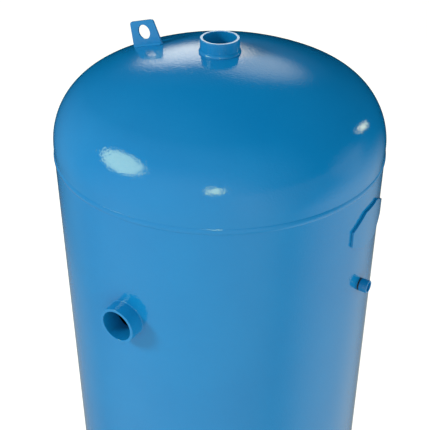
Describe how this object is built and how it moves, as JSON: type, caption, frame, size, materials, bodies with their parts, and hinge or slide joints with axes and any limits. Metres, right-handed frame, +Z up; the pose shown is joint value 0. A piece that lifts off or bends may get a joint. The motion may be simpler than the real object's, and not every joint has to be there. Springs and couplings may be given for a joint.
{
  "type": "expansion vessel",
  "caption": "Tall cylindrical expansion vessel with dished ends on three legs, threaded sockets on top and side, lifting lug, capped charging valve and a flanged bladder inside.",
  "frame": {"origin": "on the vessel's axis at floor level, at the centre of the anchor hole circle", "axes": "+Z up the vessel's axis; +X towards the charging valve and nameplate pad; the side socket faces -Y; the lifting lug is on the -X side"},
  "size_m": [0.5166, 0.5335, 1.36],
  "materials": {
    "tank_paint": "gloss blue enamel over welded steel",
    "zinc_steel": "zinc plated, satin",
    "spring_steel": "drawn spring wire",
    "brass": "turned brass",
    "seal_rubber": "black moulded rubber",
    "butyl": "matt black butyl bladder"
  },
  "bodies": {
    "vessel": {"top_head": "tank_paint", "bottom_head": "tank_paint", "shell": "tank_paint", "top_seam_weld": "tank_paint", "bottom_seam_weld": "tank_paint", "shell_seam_weld": "tank_paint", "top_socket": "tank_paint", "top_socket_weld": "tank_paint", "side_socket": "tank_paint", "side_socket_weld": "tank_paint", "lifting_lug": "tank_paint", "lug_weld": "tank_paint", "nameplate_pad": "tank_paint", "valve_boss": "tank_paint", "valve_body": "brass", "valve_core": "brass", "neck_ring": "tank_paint", "neck_weld": "tank_paint", "cover_flange": "zinc_steel", "water_nipple": "zinc_steel", "nipple_weld": "zinc_steel", "flange_studs": "zinc_steel", "flange_washers": "zinc_steel", "flange_nuts": "zinc_steel", "bladder": "butyl", "leg_back": "tank_paint", "leg_left": "tank_paint", "leg_right": "tank_paint", "foot_plate_back": "tank_paint", "foot_plate_left": "tank_paint", "foot_plate_right": "tank_paint"},
    "pin": {"valve_pin": "brass", "core_seal": "seal_rubber", "core_spring": "spring_steel"},
    "cap_carrier": {"cap_seal": "seal_rubber"},
    "cap": {"valve_cap": "tank_paint"}
  },
  "joints": [
    {"name": "pin_press", "type": "slide", "parent": "vessel", "child": "pin", "axis": [-1, 0, 0], "range_m": [0, 0.0012], "stiffness_N_per_m": 600, "springref_m": -0.001, "deforming": ["core_spring"]},
    {"name": "cap_lift", "type": "slide", "parent": "vessel", "child": "cap_carrier", "axis": [1, 0, 0], "range_m": [0, 0.0085]},
    {"name": "cap_turn", "type": "hinge", "parent": "cap_carrier", "child": "cap", "pos_m": [0.2576, 0, 1.02], "axis": [1, 0, 0], "range_deg": [0, 3060]}
  ],
  "couplings": [
    {"joint": "cap_turn", "follows": "cap_lift", "rad_per_m": 6283.2}
  ]
}
